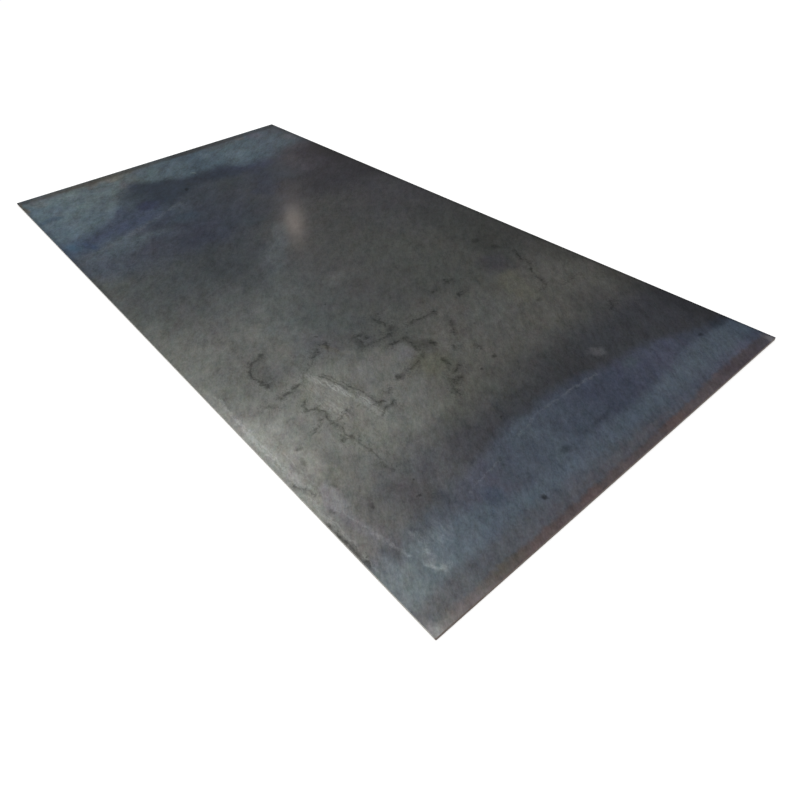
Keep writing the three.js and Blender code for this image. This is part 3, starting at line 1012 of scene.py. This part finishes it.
def shadeRim(tree, x, y, colour):
    # painted shade where the rolled face falls to the cut at the far end, at the back and along the far
    # part of the front, and a painted highlight along the near end
    start, full, strength = rimShade["far"]
    farDark = step(tree, calc(tree, "ADD", x, halfLength), mm(start), mm(full), 0.0, strength)
    farWidth, nearWidth, strength = rimShade["back"]
    width = spread(tree, x, -halfLength, halfLength, mm(farWidth), mm(nearWidth))
    backGap = calc(tree, "DIVIDE", calc(tree, "SUBTRACT", halfWidth, y), width)
    backDark = step(tree, backGap, 1.0, 0.5, 0.0, strength)
    start, full, strength = rimShade["front"]
    frontDark = step(tree, calc(tree, "ADD", y, halfWidth), mm(start), mm(full), 0.0, strength)
    frontDark = calc(tree, "MULTIPLY", frontDark, step(tree, x, *mm(*rimShade["frontFrom"])))
    dark = calc(tree, "MAXIMUM", calc(tree, "MAXIMUM", farDark, backDark), frontDark)
    # painted highlight: a paler strip along the near end
    nearHighlight = step(tree, calc(tree, "SUBTRACT", halfLength, x), *mm(*rimShade["nearHighlight"]))
    highlightShare = step(tree, y, *mm(*rimShade["nearHighlightAlong"]), *rimShade["nearHighlightStrength"])
    nearHighlight = calc(tree, "MULTIPLY", nearHighlight, highlightShare)
    return scaleVector(tree, colour, calc(tree, "ADD", calc(tree, "SUBTRACT", 1.0, dark), nearHighlight))


def paintScale(tree, plan, planX, planY):
    # the bands, clouds and marks one over the other, each in its own pushed-about places; also
    # how far each point is stained and rubbed
    soft = pushed(tree, plan, *scale["softDrift"])
    ragged = pushed(tree, plan, *scale["borderDrift"])
    sharp = pushed(tree, plan, *scale["markDrift"])
    x, y = split(tree, ragged)
    along = spread(tree, y, -halfWidth, halfWidth, 0.0, 1.0)
    colour = toneAlong(tree, along, plainTones)
    colour = layBands(tree, x, y, along, colour, plainBands, 1)
    colour = layPatches(tree, soft, colour, plainPatches)
    colour = layBands(tree, x, y, along, colour, farBands[:-1], -1)
    colour = layPatches(tree, soft, colour, farPatches)
    last = farBands[-1]
    tint = layPatches(tree, ragged, toneAlong(tree, along, last["tones"]), tintPatches)
    colour = blend(tree, borderShare(tree, x, y, last["border"], last["fade"], -1), colour, tint)
    nearX, nearY = split(tree, sharp)
    colour = layBands(tree, nearX, nearY, along, colour, nearBands, 1)
    colour = layPatches(tree, sharp, colour, frontPatches)
    colour = scatterSpecks(tree, sharp, colour)
    colour, stained = markStains(tree, sharp, colour)
    colour, rubbed = markScuffs(tree, sharp, colour)
    colour = mottled(tree, planX, planY, colour)
    return shadeRim(tree, planX, planY, colour), stained, rubbed


def millScale():
    made, tree = newMaterial("millScale")
    place = addNode(tree, "ShaderNodeTexCoord").outputs["Object"]
    parts = addNode(tree, "ShaderNodeSeparateXYZ", {0: place})
    # on the underside the tones run end for end, since x changes its sign there
    side = step(tree, parts.outputs["Z"], thickness * 0.4, thickness * 0.6, -1.0, 1.0)
    planX = calc(tree, "MULTIPLY", parts.outputs["X"], side)
    planY = parts.outputs["Y"]
    plan = addNode(tree, "ShaderNodeCombineXYZ", {"X": planX, "Y": planY, "Z": 0.0}).outputs[0]
    colour, stained, rubbed = paintScale(tree, plan, planX, planY)

    stray = scale["roughnessStray"]
    stray = spread(tree, cloud(tree, plan, *scale["roughnessNoise"]), 0.0, 1.0, -stray, stray)
    roughness = calc(tree, "ADD", scale["roughness"], stray)
    roughness = calc(tree, "SUBTRACT", roughness, calc(tree, "MULTIPLY", rubbed, scale["rubbedSmooth"]))
    roughness = calc(tree, "ADD", roughness, calc(tree, "MULTIPLY", stained, scale["stainedRough"]))
    pits = cloud(tree, plan, *scale["pitNoise"])
    inputs = {"Strength": scale["pitStrength"], "Distance": mm(scale["pitDepth"]), "Height": pits}
    bump = addNode(tree, "ShaderNodeBump", inputs)
    shader = addNode(tree, "ShaderNodeBsdfPrincipled", {
        "Base Color": colour,
        "Metallic": scale["metallic"],
        "Roughness": roughness,
        "Specular IOR Level": scale["sheen"],
        "Specular Tint": scale["grazing"],
        "Coat Weight": scale["oil"],
        "Coat Roughness": scale["oilRoughness"],
        "Normal": bump.outputs[0],
    })
    addNode(tree, "ShaderNodeOutputMaterial", {"Surface": shader.outputs[0]})
    print("mill scale:", len(tree.nodes), "nodes")
    return made


cutEdge = {
    "land": srgb(176, 174, 168),       # burnished strip
    "torn": srgb(150, 147, 140),
    "rust": srgb(98, 86, 80),          # darker, rust-brown tone of the end face towards +X
    "scaleSmear": srgb(74, 74, 76),    # scale dragged over the rollover
    "metallic": 0.8,
    "sheen": 0.2,
    "landRoughness": 0.34,
    "tornRoughness": 0.62,
    "pitStrength": 0.4,
    "pitDepth": mm(0.2),
    "ragged": mm(1.2),                 # how far the borders between the zones stray
    "raggedNoise": (260.0, 3.0),
    "tornFrom": mm(-0.1, 0.25),        # from the land's foot: where the torn strip sets in and is full
    "smearTo": mm(0.9, 0.5),           # depth where the smear ends and where it is full
    "endToneFrom": mm(6, 2),              # the same for that darker tone, in from the end
    "scoreWaves": (900, 900, 40),      # upright scores on the land, waves per metre
}


def shearedMetal():
    # zones by the depth in the cut, from the rollover's smear over the land to the torn strip
    made, tree = newMaterial("shearedMetal")
    place = addNode(tree, "ShaderNodeTexCoord").outputs["Object"]
    parts = addNode(tree, "ShaderNodeSeparateXYZ", {0: place})
    depth = addNode(tree, "ShaderNodeAttribute", attribute_name="cutDepth").outputs["Fac"]
    ragged = calc(tree, "SUBTRACT", cloud(tree, place, *cutEdge["raggedNoise"]), 0.5)
    depth = calc(tree, "ADD", depth, calc(tree, "MULTIPLY", ragged, cutEdge["ragged"]))
    landFoot = plate["rolloverDrop"] + plate["landHeight"]
    tornShare = step(tree, depth, *[landFoot + past for past in cutEdge["tornFrom"]])
    scored = addNode(tree, "ShaderNodeMapping", {"Vector": place, "Scale": cutEdge["scoreWaves"]}).outputs[0]
    land = scaleVector(tree, cutEdge["land"][:3], patterned(tree, scored, "landScores"))
    pitted = patterned(tree, place, "tornPits")
    torn = scaleVector(tree, cutEdge["torn"][:3], pitted)
    colour = blend(tree, tornShare, land, torn)
    colour = blend(tree, step(tree, depth, *cutEdge["smearTo"]), colour, cutEdge["scaleSmear"])
    # the end face towards +X is made darker and rust-brown, in blotches
    endFace = step(tree, parts.outputs["X"], *[halfLength - gap for gap in cutEdge["endToneFrom"]])
    endDarkening = calc(tree, "MULTIPLY", endFace, patterned(tree, place, "endBlotches"))
    colour = blend(tree, endDarkening, colour, cutEdge["rust"])
    roughness = step(tree, tornShare, 0.0, 1.0, cutEdge["landRoughness"], cutEdge["tornRoughness"])
    inputs = {"Strength": cutEdge["pitStrength"], "Distance": cutEdge["pitDepth"], "Height": pitted}
    bump = addNode(tree, "ShaderNodeBump", inputs)
    shader = addNode(tree, "ShaderNodeBsdfPrincipled", {
        "Base Color": colour,
        "Metallic": cutEdge["metallic"],
        "Roughness": roughness,
        "Specular IOR Level": cutEdge["sheen"],
        "Normal": bump.outputs[0],
    })
    addNode(tree, "ShaderNodeOutputMaterial", {"Surface": shader.outputs[0]})
    print("sheared metal made")
    return made


def makePlate():
    mesh = rolledPlateMesh()
    mesh.materials.append(millScale())
    mesh.materials.append(shearedMetal())
    piece = addObject("rolledPlate", mesh)
    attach(piece, "root")
    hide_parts("steel_plate")
    print("plate made:", len(mesh.vertices), "vertices,", len(mesh.polygons), "faces")


makePlate()

bpy.context.scene.view_settings.view_transform = "Standard"
